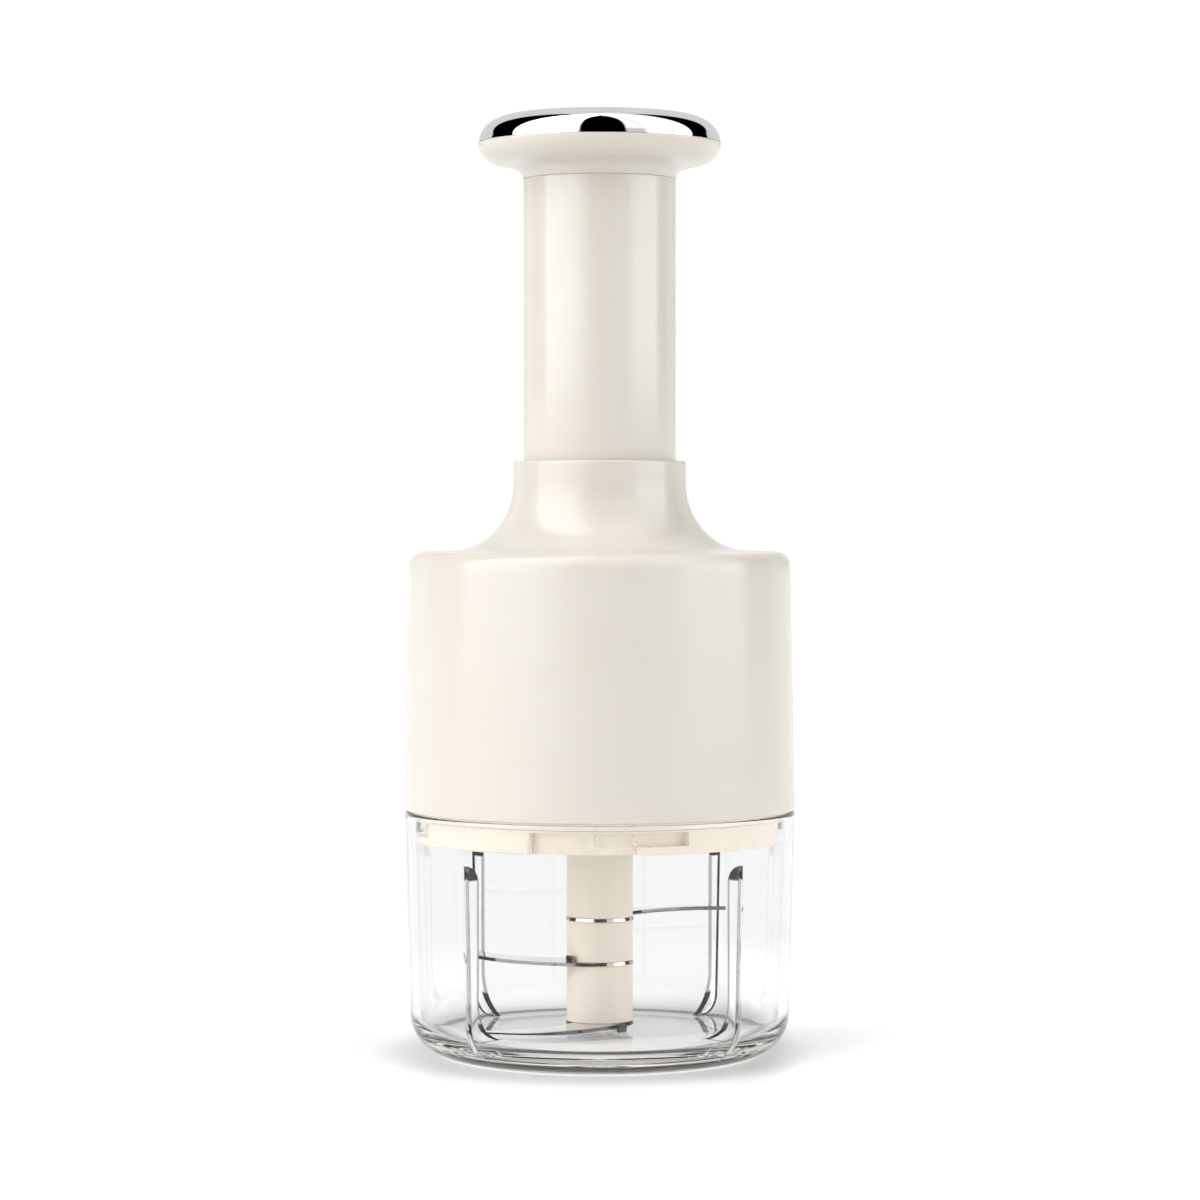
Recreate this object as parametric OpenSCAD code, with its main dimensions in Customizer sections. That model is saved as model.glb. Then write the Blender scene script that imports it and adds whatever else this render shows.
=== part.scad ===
// Hand-press food chopper: clear bowl, twist-lock head, press handle with a
// spiral bar that spins a three-blade column.
// Millimetres. +Z up, origin at the centre of the bowl's base, front is -Y.

/* [Bowl] */
// Outside diameter at the bowl's rim
bowl_d_top = 94.8; // [90:0.2:96]
// Outside diameter just above the base radius
bowl_d_base = 92.2; // [88:0.2:94]
// Height of the rim above the table
bowl_h = 59.0; // [58.5:0.1:59]
// Side wall thickness
bowl_wall = 2.55; // [2:0.05:2.6]
// Thickness of the clear floor
bowl_floor = 5.0; // [4:0.1:5.2]
// Outside radius between wall and base
bowl_round = 10; // [6:0.5:11]
// Thickness of each stirring rib
rib_w = 1.15; // [0.9:0.05:2]
// Height of the top of the ribs
rib_top = 48.4; // [40:0.2:50]
// Radius of the ribs' inner edges
rib_r = 40.8; // [39.6:0.1:42]

/* [Twist lock] */
// Number of lugs round the rim
lug_count = 4; // [3:1:4]
// Angle covered by one lug, degrees
lug_span = 12.4; // [8:0.2:12.6]
// Centre angle of the first lug, degrees from the front towards +X
lug_at = 4.5; // [0:0.5:5]
// Twist from entry to lock, degrees
twist_angle = 16; // [12:0.5:16]

/* [Head] */
// Largest diameter of the head, at its lower edge
head_d = 95.0; // [94:0.2:97]
// Diameter of the head below its shoulder
head_d_top = 92.6; // [90:0.2:94]
// Level of the head's lower edge
head_z = 59.4; // [59.3:0.1:59.6]
// Level of the shoulder
shoulder_z = 121.9; // [121:0.1:123]
// Diameter of the neck collar
neck_d = 42.0; // [41.6:0.1:43]
// Level of the neck's rim
neck_z = 143.7; // [142:0.1:146]
// Shell thickness
shell = 2.2; // [1.8:0.1:2.4]

/* [Handle] */
// Outside diameter of the sliding tube
tube_d = 37.0; // [36.6:0.05:37.05]
// Wall of the sliding tube
tube_wall = 1.6; // [1.4:0.1:1.6]
// Level of the seam between tube and knob
tube_top = 211.7; // [210:0.1:213]
// Diameter of the knob
knob_d = 58.9; // [52:0.1:62]
// Level of the seam between knob base and cap
cap_z = 220.4; // [219.5:0.1:221.5]
// Level of the top of the cap
top_z = 227.7; // [226:0.1:229]
// Handle stroke
stroke = 54; // [40:1:54]

/* [Drive] */
// Lead of the spiral bar, travel for one turn
lead = 30; // [26:1:36]
// Width of the spiral bar
bar_w = 9.0; // [8:0.1:9.2]
// Thickness of the spiral bar
bar_t = 2.6; // [2.2:0.1:2.8]

/* [Blades] */
// Diameter of the centre column
column_d = 16.1; // [15.6:0.1:16.2]
// Blade thickness
blade_t = 0.9; // [0.6:0.05:0.9]
// Radius of the two upper blades' tips
blade_r = 37.5; // [34:0.5:38.5]
// Radius of the lowest blade's tip, inside the ribs' feet
low_r = 35.0; // [33:0.1:36]
// Underside levels of the three blades
blade_z = [32.4, 21.8, 6.9];
// Directions of the three blades, degrees from +X
blade_dir = [65, 180, 242];

/* [Hidden] */
$fn = 96;

cream = [0.93, 0.91, 0.87];
white = [0.95, 0.95, 0.93];
steel = [0.75, 0.76, 0.78];
clear = [0.85, 0.9, 0.92, 0.35];

col_r = column_d / 2;
core_r = 6.2;            // outside of the keyed core tube
core_in = 5.4;           // its bore, round the spiral bar
skirt_r = 44.3;          // lid plug that enters the bowl
skirt_z = 52.0;          // its lower edge
lid_top = 62.0;
lug_z0 = 54.1;
lug_z1 = 56.85;
chan_r = 42.3;           // floor of the lock channels
collar_top = 61.2;       // bearing collar round the column
spring_z0 = 77.75;
spring_z1 = 199.9;
bar_z0 = 65.8;           // lower tip of the bar at rest
bar_z1 = 188;            // where the twist ends and the tang begins
boss_r = 34;             // circle of the head's screw bosses

function arc(cx, cz, rx, rz, a0, a1, n) =
    [for (i = [0:n]) let (a = a0 + (a1 - a0) * i / n) [cx + rx * cos(a), cz + rz * sin(a)]];

// Angle in the X-Y plane of a direction measured from the front (-Y) towards +X
function front(a) = a - 90;

module ring(r0, r1, z0, z1) {
    translate([0, 0, z0]) difference() {
        cylinder(r = r1, h = z1 - z0);
        translate([0, 0, -1]) cylinder(r = r0, h = z1 - z0 + 2);
    }
}

// Ring sector between two angles, from r0 to r1
module sector(r0, r1, z0, z1, a0, a1) {
    big = r1 * 2;
    intersection() {
        ring(r0, r1, z0, z1);
        translate([0, 0, z0 - 1]) linear_extrude(z1 - z0 + 2)
            polygon([[0, 0], [big * cos(a0), big * sin(a0)],
                     [big * cos((a0 + a1) / 2), big * sin((a0 + a1) / 2)],
                     [big * cos(a1), big * sin(a1)]]);
    }
}

// ---------------------------------------------------------------- bowl

bowl_rt = bowl_d_top / 2;
bowl_rb = bowl_d_base / 2;
bowl_it = bowl_rt - bowl_wall;
bowl_ib = bowl_rb - bowl_wall;
bowl_ir = 5.3;           // inside radius between wall and floor
rib_at = 46.6;           // angle of the first rib from the front
foot_z = 16.3;           // where the ribs' feet begin to sweep into the floor
foot_r = 13.0;           // and the radius of that sweep

module bowl() {
    color(clear) union() {
        rotate_extrude() polygon(concat(
            [[0, 0.8], [31, 0.8], [31.8, 0]],
            arc(bowl_rb - bowl_round, bowl_round, bowl_round, bowl_round, -90, 0, 10),
            arc(bowl_rt - 0.6, bowl_h - 0.6, 0.6, 0.6, 0, 90, 3),
            arc(bowl_it + 0.6, bowl_h - 0.6, 0.6, 0.6, 90, 180, 3),
            arc(bowl_ib - bowl_ir, bowl_floor + bowl_ir, bowl_ir, bowl_ir, 0, -90, 8),
            [[4.2, bowl_floor], [4.2, bowl_floor + 0.8], [2.5, bowl_floor + 0.8],
             [2.5, bowl_floor + 3.4], [2.1, bowl_floor + 3.8], [0, bowl_floor + 3.8]]));
        // stirring ribs: thin fins with a rounded top and a foot that sweeps into the floor
        for (k = [0:3]) rotate([0, 0, front(rib_at + 90 * k)])
            rotate([90, 0, 0]) translate([0, 0, -rib_w / 2]) linear_extrude(rib_w) polygon(concat(
                arc(45.2, rib_top - 4.4, 45.2 - rib_r, 4.4, 90, 180, 10),
                arc(rib_r - foot_r, foot_z, foot_r, foot_r, 0, -58, 8),
                [[33, bowl_floor - 1.2], [bowl_ib - 1, bowl_floor - 1.2], [bowl_ib + 0.8, bowl_floor + 3], [bowl_ib + 0.8, 40], [45.2, 44]]));
        // lock lugs
        for (k = [0:lug_count - 1])
            rotate([0, 0, front(lug_at - lug_span / 2) + k * 360 / lug_count])
                sector(42.6, bowl_it + 0.6, lug_z0, lug_z1, 0, lug_span);
    }
}

module lid_seal() {
    color([0.88, 0.84, 0.78]) rotate_extrude() polygon([
        [43.05, 57.75], [44.6, 57.75], [44.6, 59.05], [45.6, 59.05],
        [45.6, 59.32], [43.05, 59.32]]);
}

// ---------------------------------------------------------------- head

head_r = head_d / 2;
head_rt = head_d_top / 2;
neck_r = neck_d / 2;
neck_in = 19.45;
flare_c = 36.4;          // centre of the flare's curve
flare_z = 138.4;

module body_housing() {
    color(cream) union() {
        rotate_extrude() polygon(concat(
            [[head_r - shell, head_z], [head_r, head_z]],
            arc(head_rt - 3.3, shoulder_z - 3.5, 3.3, 3.3, 0, 90, 6),
            arc(flare_c, flare_z, flare_c - neck_r, flare_z - shoulder_z, 270, 180, 14),
            arc(neck_r - 0.8, neck_z - 0.8, 0.8, 0.8, 0, 90, 3),
            [[neck_in, neck_z]],
            arc(flare_c, flare_z, flare_c - neck_in, flare_z - shoulder_z + shell, 180, 270, 12),
            arc(head_rt - 5.2, shoulder_z - shell - 2.4, 2.2, 2.2, 90, 0, 3)));
        // screw bosses hanging from the shoulder
        for (k = [0:3]) rotate([0, 0, 45 + 90 * k]) translate([boss_r, 0, 0])
            ring(1.3, 3.2, 60.0, shoulder_z - 1.2);
    }
}

module lid_base() {
    color(cream) difference() {
        union() {
            rotate_extrude() polygon([
                [col_r + 0.08, skirt_z], [43.7, skirt_z], [skirt_r, skirt_z + 0.6], [skirt_r, 57.65],
                [42.95, 57.65], [42.95, 59.4], [45.2, 59.4], [45.2, lid_top],
                [40.2, lid_top], [40.2, 54.2], [11.2, 54.2], [11.2, collar_top],
                [col_r + 0.08, collar_top]]);
            for (k = [0:3]) rotate([0, 0, 45 + 90 * k]) translate([boss_r, 0, 53])
                cylinder(r = 4.4, h = 59.9 - 53);
            for (k = [0:2]) rotate([0, 0, 120 * k]) translate([18.5, 0, 53])
                cylinder(r = 3, h = 59.6 - 53);
        }
        // screw wells
        for (k = [0:3]) rotate([0, 0, 45 + 90 * k]) translate([boss_r, 0, 0]) {
            translate([0, 0, 50]) cylinder(r = 3.1, h = 7);
            translate([0, 0, 50]) cylinder(r = 1.65, h = 12);
        }
        for (k = [0:2]) rotate([0, 0, 120 * k]) translate([18.5, 0, 55.2])
            cylinder(r = 1.35, h = 6);
        // lock channels: an open entry, then a shelf that passes under the lug
        for (k = [0:lug_count - 1]) rotate([0, 0, front(0) + k * 360 / lug_count]) {
            sector(chan_r, 46, 50, 57.15, -21.2, 11.5);
            sector(chan_r, 46, 53.9, 57.15, 10.5, lug_at + lug_span / 2 + twist_angle + 0.7);
        }
    }
}

module neck_bush() {
    color(white) union() {
        ring(tube_d / 2 + 0.07, neck_in - 0.03, 123.0, 143.1);
        ring(tube_d / 2 + 0.07, 23.8, 123.0, 124.4);
    }
}

module guide_sleeve() {
    color(white) union() {
        ring(22.2, 23.8, 61.45, 122.95);
        for (k = [0:2]) rotate([0, 0, 60 + 120 * k]) translate([20.3, -1.2, 64])
            cube([2.6, 2.4, 122.4 - 64]);
    }
}

module nut_cage() {
    color(white) difference() {
        union() {
            translate([0, 0, 59.65]) cylinder(r = 25, h = 1.75);
            translate([0, 0, 59.65]) cylinder(r = 13.4, h = 76.2 - 59.65);
        }

        translate([0, 0, 50]) cylinder(r = 11.4, h = 74.4 - 50);
        translate([0, 0, 50]) cylinder(r = 5.6, h = 40);
        for (k = [0:2]) rotate([0, 0, 120 * k]) translate([18.5, 0, 50])
            cylinder(r = 1.6, h = 20);
    }
}

module spring_sleeve() {
    color(white) difference() {
        union() {
            translate([0, 0, 76.25]) cylinder(r = 13.2, h = 1.45);
            translate([0, 0, 76.25]) cylinder(r = 9.8, h = 140 - 76.25);
        }
        translate([0, 0, 70]) cylinder(r = 5.6, h = 20);
        translate([0, 0, 77.7]) cylinder(r = 8.3, h = 80);
    }
}

module thrust_washer() {
    color(steel) ring(col_r + 0.35, 11.1, collar_top + 0.03, collar_top + 0.75);
}

// Compression spring with its end turns drawn close
module return_spring() {
    turns = 14;
    r = 11.6;
    w = 0.72;
    seg = 16;
    sides = 6;
    len = spring_z1 - spring_z0 - 2 * w;
    n = turns * seg;
    function zat(t) = let (u = t / turns)
        u < 1.2 / turns ? t * 1.8 :
        t > turns - 1.2 ? len - (turns - t) * 1.8 :
        1.2 * 1.8 + (t - 1.2) * (len - 2 * 1.2 * 1.8) / (turns - 2.4);
    pts = [for (i = [0:n]) let (t = i / seg, a = 360 * t, z = spring_z0 + w + zat(t))
        for (j = [0:sides - 1]) let (b = 360 * j / sides, rr = r + w * cos(b))
            [rr * cos(a), rr * sin(a), z + w * sin(b)]];
    faces = concat(
        [[for (j = [0:sides - 1]) j]],
        [for (i = [0:n - 1]) for (j = [0:sides - 1]) let (j2 = (j + 1) % sides)
            each [[i * sides + j, (i + 1) * sides + j, (i + 1) * sides + j2],
                  [i * sides + j, (i + 1) * sides + j2, i * sides + j2]]],
        [[for (j = [sides - 1:-1:0]) n * sides + j]]);
    color(steel) polyhedron(points = pts, faces = faces, convexity = 20);
}

module pan_screw(head_r, head_h, shaft_r, shaft_l) {
    // head below z = 0, shaft above
    difference() {
        union() {
            translate([0, 0, -head_h]) cylinder(r = head_r, h = head_h);
            cylinder(r = shaft_r, h = shaft_l);
        }
        for (a = [0, 90]) rotate([0, 0, a]) translate([-head_r * 0.6, -0.3, -head_h - 1])
            cube([head_r * 1.2, 0.6, 1.7]);
    }
}

module lid_screws() {
    color(steel) for (k = [0:3]) rotate([0, 0, 45 + 90 * k]) translate([boss_r, 0, 56.95])
        pan_screw(2.8, 1.8, 1.25, 15);
}

module cage_screws() {
    color(steel) for (k = [0:2]) rotate([0, 0, 120 * k]) translate([18.5, 0, 61.45])
        mirror([0, 0, 1]) pan_screw(2.5, 1.5, 1.3, 5.4);
}

// ---------------------------------------------------------------- handle

knob_r = knob_d / 2;

module knob_cap() {
    color([0.85, 0.85, 0.87]) union() {
        rotate_extrude() polygon(concat(
            [[0, top_z], [12, top_z - 0.15], [18, top_z - 0.38]],
            arc(21.2, cap_z + 0.05, knob_r - 21.2, top_z - 0.65 - cap_z, 80, 0, 10),
            [[knob_r - 1.4, cap_z + 0.05]],
            arc(21.2, cap_z + 0.05, knob_r - 21.2 - 1.4, top_z - 1.9 - cap_z, 0, 90, 8),
            [[0, top_z - 1.35]]));
        ring(25.7, 26.9, cap_z - 1.9, cap_z + 4.5);
    }
}

module knob_base() {
    color(cream) difference() {
        rotate_extrude() polygon(concat(
            [[12.2, 204.05], [tube_d / 2 - tube_wall - 0.06, 204.05], [tube_d / 2 - tube_wall - 0.06, tube_top + 0.02],
             [tube_d / 2 + 0.1, tube_top + 0.02]],
            arc(21.9, tube_top - 0.1, 21.8 - tube_d / 2, 3.0, 172, 95, 6),
            arc(23.2, cap_z, knob_r - 23.2, 5.15, -82, 0, 9),
            [[27.2, cap_z], [27.2, cap_z - 2.05], [25.4, cap_z - 2.05], [25.4, cap_z],
             [24.2, cap_z], [24.2, cap_z - 2.9], [12.2, cap_z - 2.9]]));
        for (k = [0:2]) rotate([0, 0, 120 * k]) translate([14.6, 0, 203])
            cylinder(r = 1.25, h = 8);
    }
}

module handle_tube() {
    color(cream) difference() {
        ring(tube_d / 2 - tube_wall, tube_d / 2, 119.5, tube_top);
        ring(tube_d / 2 - 0.5, tube_d / 2 + 2, 119.55, 122.45);
    }
}

module stop_ring() {
    color(white) difference() {
        ring(tube_d / 2 - 0.47, 21.9, 119.6, 122.4);
        for (k = [0:2]) rotate([0, 0, 60 + 120 * k]) translate([20.0, -1.45, 118])
            cube([4, 2.9, 6]);
    }
}

module bar_section(g) {
    c = 0.35;
    w = bar_w / 2 + g;
    t = bar_t / 2 + g;
    polygon([[t, -w + c], [t, w - c], [t - c, w], [-t + c, w],
             [-t, w - c], [-t, -w + c], [-t + c, -w], [t - c, -w]]);
}

// Length of spiral bar from z0 up to z1, turning one way round in each lead
module spiral(g, z0, z1) {
    a = 360 * (z1 - z0) / lead;
    off = 360 * (z0 - bar_z1) / lead;
    translate([0, 0, z0]) rotate([0, 0, off])
        linear_extrude(height = z1 - z0, twist = -a, slices = ceil(a / 9), segments = 16, convexity = 6, $fn = 8)
            bar_section(g);
}

module drive_screw() {
    color(steel) union() {
        spiral(0, bar_z0, bar_z1);
        difference() {
            translate([0, 0, bar_z1 - 0.3]) linear_extrude(15.7) bar_section(-0.01);
            translate([-5, 0, 195]) rotate([0, 90, 0]) cylinder(r = 1.3, h = 10);
        }
    }
}

module screw_holder() {
    color(white) difference() {
        union() {
            translate([0, 0, 200]) cylinder(r = 16.8, h = 4);
            translate([0, 0, 189]) cylinder(r = 7.6, h = 12);
        }
        translate([-bar_t / 2 - 0.04, -bar_w / 2 - 0.04, 180]) cube([bar_t + 0.08, bar_w + 0.08, 40]);
        translate([-10, 0, 195]) rotate([0, 90, 0]) cylinder(r = 1.28, h = 20);
        for (k = [0:2]) rotate([0, 0, 120 * k]) translate([14.6, 0, 190])
            cylinder(r = 1.4, h = 20);
    }
}

module holder_screws() {
    color(steel) for (k = [0:2]) rotate([0, 0, 120 * k]) translate([14.6, 0, 199.95])
        pan_screw(2.0, 1.5, 1.2, 10);
}

module screw_pin() {
    color(steel) translate([-7.3, 0, 195]) rotate([0, 90, 0]) cylinder(r = 1.25, h = 14.6);
}

// ---------------------------------------------------------------- rotor

dog_z = 63.7;

module dogs(z0, z1, a0, span) {
    for (k = [0:5]) rotate([0, 0, a0 + 60 * k]) sector(7.5, 10.6, z0, z1, 0, span);
}

module keys(grow, z0, z1) {
    for (a = [0, 180]) rotate([0, 0, a]) translate([5.8, -0.8 - grow, z0])
        cube([1.1 + grow, 1.6 + 2 * grow, z1 - z0]);
}

module drive_nut() {
    color(white) union() {
        difference() {
            translate([0, 0, dog_z + 1.35]) cylinder(r = 10.9, h = 73.8 - dog_z - 1.35);
            spiral(0.22, 63, 76);
        }
        dogs(dog_z + 0.05, dog_z + 1.6, 31, 28);
    }
}

module spacer(z0, z1) {
    difference() {
        translate([0, 0, z0]) cylinder(r = col_r, h = z1 - z0);
        translate([0, 0, z0 - 1]) cylinder(r = core_r + 0.04, h = z1 - z0 + 2);
        keys(0.05, z0 - 1, z1 + 1);
    }
}

module column_top() {
    color(cream) union() {
        spacer(blade_z[0] + blade_t + 0.02, 62.4);
        ring(core_r + 0.04, 11.0, 62.05, dog_z);
        dogs(dog_z - 0.2, dog_z + 1.3, 0, 29);
    }
}

module column_mid() {
    color(cream) spacer(blade_z[1] + blade_t + 0.02, blade_z[0] - 0.02);
}

module column_low() {
    color(cream) spacer(blade_z[2] + blade_t + 0.02, blade_z[1] - 0.02);
}

module core_tube() {
    color(white) union() {
        ring(core_in, core_r, blade_z[2], 62.3);
        difference() {
            keys(0, blade_z[2], 61.9);
            translate([0, 0, 0]) cylinder(r = core_in + 0.3, h = 70);
        }
    }
}

// Swept-back crescent: the long outer curve leads, the tip trails
module blade_outline(tip) {
    difference() {
        union() {
            circle(r = col_r + 0.25);
            intersection() {
                translate([0, col_r - 36.8]) circle(r = 37);
                circle(r = tip);
                translate([0, -40]) square([60, 60]);
            }
        }
        difference() {
            translate([7.5, -28.6]) circle(r = 25.2);
            circle(r = col_r + 0.25);
        }
        difference() {
            translate([-50, -60]) square([54, 60]);
            circle(r = col_r + 0.25);
        }
        difference() {
            translate([0, -80]) square([60, 58]);
            circle(r = col_r);
        }
        circle(r = core_r + 0.04);
    }
}

module blade(i, tab_at, tab_up) {
    rotate([0, 0, blade_dir[i]]) difference() {
        union() {
            translate([0, 0, blade_z[i]]) linear_extrude(blade_t) blade_outline(i == 2 ? low_r : blade_r);
            rotate([0, 0, tab_at]) translate([8.7, -1.3, tab_up > 0 ? blade_z[i] + 0.1 : blade_z[i] + tab_up])
                cube([0.7, 2.6, abs(tab_up) + blade_t - 0.2]);
        }
        rotate([0, 0, -blade_dir[i]]) keys(0.05, blade_z[i] - 1, blade_z[i] + 2);
    }
}

module blade_top() { color(steel) blade(0, 38, 1.6); }
module blade_mid() { color(steel) blade(1, 38, 1.6); }
module blade_low() { color(steel) blade(2, 64, -1.2); }

module pivot_bush() {
    color(white) difference() {
        union() {
            translate([0, 0, 6.1]) cylinder(r = 7.4, h = 0.78);
            translate([0, 0, 6.1]) cylinder(r = core_in - 0.04, h = 4.4);
        }
        translate([0, 0, 5]) cylinder(r = 2.58, h = 4.2);
    }
}

bowl();
lid_seal();
body_housing();
lid_base();
neck_bush();
guide_sleeve();
nut_cage();
spring_sleeve();
thrust_washer();
return_spring();
lid_screws();
cage_screws();
knob_cap();
knob_base();
handle_tube();
stop_ring();
drive_screw();
screw_holder();
holder_screws();
screw_pin();
drive_nut();
column_top();
column_mid();
column_low();
core_tube();
blade_top();
blade_mid();
blade_low();
pivot_bush();
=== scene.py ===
"""Hand-press food chopper: looks, camera and studio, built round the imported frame."""
import math

import bmesh
import bpy
import numpy as np
from mathutils import Matrix, Vector


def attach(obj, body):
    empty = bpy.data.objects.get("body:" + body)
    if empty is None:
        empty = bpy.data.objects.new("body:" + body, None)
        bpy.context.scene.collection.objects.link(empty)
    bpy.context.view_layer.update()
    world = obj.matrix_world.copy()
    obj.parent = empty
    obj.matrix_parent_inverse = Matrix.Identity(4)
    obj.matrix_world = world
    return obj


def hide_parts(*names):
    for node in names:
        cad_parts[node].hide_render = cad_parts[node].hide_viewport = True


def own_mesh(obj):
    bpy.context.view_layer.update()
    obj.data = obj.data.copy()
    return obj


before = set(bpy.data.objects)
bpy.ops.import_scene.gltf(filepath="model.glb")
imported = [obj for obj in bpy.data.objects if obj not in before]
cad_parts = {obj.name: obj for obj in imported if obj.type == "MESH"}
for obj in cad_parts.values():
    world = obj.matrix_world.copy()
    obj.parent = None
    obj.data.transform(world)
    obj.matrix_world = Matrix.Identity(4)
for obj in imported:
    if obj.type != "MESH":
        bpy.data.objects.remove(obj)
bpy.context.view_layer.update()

MM = 0.001
scene = bpy.context.scene

# ------------------------------------------------------------------ node helpers


def new_tree(name):
    m = bpy.data.materials.new(name)
    m.use_nodes = True
    nt = m.node_tree
    nt.nodes.clear()
    out = nt.nodes.new("ShaderNodeOutputMaterial")
    return m, nt, out


def math_node(nt, op, a, b=None, c=None, clamp=False):
    n = nt.nodes.new("ShaderNodeMath")
    n.operation = op
    n.use_clamp = clamp
    for i, v in enumerate((a, b, c)):
        if v is None:
            continue
        if isinstance(v, (int, float)):
            n.inputs[i].default_value = v
        else:
            nt.links.new(v, n.inputs[i])
    return n.outputs[0]


def step(nt, v, lo, hi, to0=0.0, to1=1.0):
    n = nt.nodes.new("ShaderNodeMapRange")
    n.interpolation_type = "SMOOTHSTEP"
    n.inputs["From Min"].default_value = lo
    n.inputs["From Max"].default_value = hi
    n.inputs["To Min"].default_value = to0
    n.inputs["To Max"].default_value = to1
    nt.links.new(v, n.inputs["Value"])
    return n.outputs["Result"]


def mix_f(nt, fac, a, b):
    n = nt.nodes.new("ShaderNodeMix")
    n.data_type = "FLOAT"
    nt.links.new(fac, n.inputs[0])
    for i, v in ((2, a), (3, b)):
        if isinstance(v, (int, float)):
            n.inputs[i].default_value = v
        else:
            nt.links.new(v, n.inputs[i])
    return n.outputs[0]


def noise(nt, vec, scale, detail=3.0, rough=0.5, stretch=None):
    if stretch is not None:
        mp = nt.nodes.new("ShaderNodeMapping")
        mp.inputs["Scale"].default_value = stretch
        nt.links.new(vec, mp.inputs["Vector"])
        vec = mp.outputs["Vector"]
    n = nt.nodes.new("ShaderNodeTexNoise")
    n.inputs["Scale"].default_value = scale
    n.inputs["Detail"].default_value = detail
    n.inputs["Roughness"].default_value = rough
    nt.links.new(vec, n.inputs["Vector"])
    return n.outputs["Fac"]


def ramp(nt, fac, stops):
    n = nt.nodes.new("ShaderNodeValToRGB")
    els = n.color_ramp.elements
    while len(els) < len(stops):
        els.new(0.5)
    for e, (p, c) in zip(els, stops):
        e.position = p
        e.color = (*c, 1.0)
    nt.links.new(fac, n.inputs["Fac"])
    return n.outputs["Color"]


def bump(nt, height, strength, distance):
    n = nt.nodes.new("ShaderNodeBump")
    n.inputs["Strength"].default_value = strength
    n.inputs["Distance"].default_value = distance
    nt.links.new(height, n.inputs["Height"])
    return n.outputs["Normal"]


def coords(nt):
    return nt.nodes.new("ShaderNodeTexCoord").outputs["Object"]


# ------------------------------------------------------------------ materials


def moulded(name, lo, hi, rough=(0.16, 0.24), coat=0.0, grain=0.00001, mottle=38.0, sss=0.0):
    """Gloss moulded plastic: faint tone drift, uneven gloss and a very fine surface ripple."""
    m, nt, out = new_tree(name)
    p = coords(nt)
    b = nt.nodes.new("ShaderNodeBsdfPrincipled")
    drift = noise(nt, p, mottle, 3.0, 0.5)
    nt.links.new(ramp(nt, drift, [(0.3, lo), (0.7, hi)]), b.inputs["Base Color"])
    polish = noise(nt, p, 260.0, 2.0, 0.6)
    nt.links.new(step(nt, polish, 0.25, 0.75, rough[0], rough[1]), b.inputs["Roughness"])
    fine = noise(nt, p, 900.0, 2.0, 0.5)
    wave = noise(nt, p, 60.0, 1.0, 0.5)
    height = math_node(nt, "ADD", math_node(nt, "MULTIPLY", fine, 0.25), wave)
    nt.links.new(bump(nt, height, 0.5, grain), b.inputs["Normal"])
    b.inputs["IOR"].default_value = 1.49
    b.inputs["Coat Weight"].default_value = coat
    b.inputs["Coat Roughness"].default_value = 0.05
    if sss:
        b.inputs["Subsurface Weight"].default_value = sss
        b.inputs["Subsurface Radius"].default_value = (1.0, 0.8, 0.6)
        b.inputs["Subsurface Scale"].default_value = 0.0015
    nt.links.new(b.outputs[0], out.inputs["Surface"])
    return m


def radius_height(nt, p):
    """Distance from the axis and height, both in mm."""
    xyz = nt.nodes.new("ShaderNodeSeparateXYZ")
    nt.links.new(p, xyz.inputs[0])
    x, y, z = xyz.outputs
    rr = math_node(nt, "ADD", math_node(nt, "MULTIPLY", x, x), math_node(nt, "MULTIPLY", y, y))
    return math_node(nt, "MULTIPLY", math_node(nt, "SQRT", rr), 1000.0), math_node(nt, "MULTIPLY", z, 1000.0)


def rib_painted_dark_lines(nt, p):
    """Painted dark lines on a rib, standing for dark refraction: a line along its crest, its rounded top and its swept
    foot.
    """
    r, z = radius_height(nt, p)
    q = math_node(nt, "MAXIMUM", math_node(nt, "SUBTRACT", 16.3, z), 0.0)
    sweep = math_node(nt, "SQRT", math_node(nt, "MAXIMUM", math_node(nt, "SUBTRACT", 169.0, math_node(nt, "MULTIPLY", q, q)), 0.0))
    depth = math_node(nt, "SUBTRACT", r, math_node(nt, "ADD", sweep, 27.8))
    crest = step(nt, depth, 0.30, 0.50, 0.77, 0.0)
    foot = math_node(nt, "MULTIPLY", step(nt, depth, 1.2, 1.6, 1.0, 0.0), step(nt, z, 10.6, 11.6, 1.0, 0.0))
    top = step(nt, z, 44.6, 45.2)
    return math_node(nt, "MAXIMUM", crest, math_node(nt, "MAXIMUM", foot, top))


def base_painted_dark_line(nt, p):
    """Painted dark line along the outer round of the thick base, standing for dark refraction, uneven along its length.
    """
    r, z = radius_height(nt, p)
    wander = math_node(nt, "MULTIPLY_ADD", noise(nt, p, 22.0, 1.0, 0.5), 1.1, -0.55)
    zz = math_node(nt, "ADD", z, wander)
    band = math_node(nt, "MULTIPLY", step(nt, zz, 0.9, 1.2), step(nt, zz, 2.5, 2.9, 1.0, 0.0))
    return math_node(nt, "MULTIPLY", band, step(nt, r, 39.2, 40.0))


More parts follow.
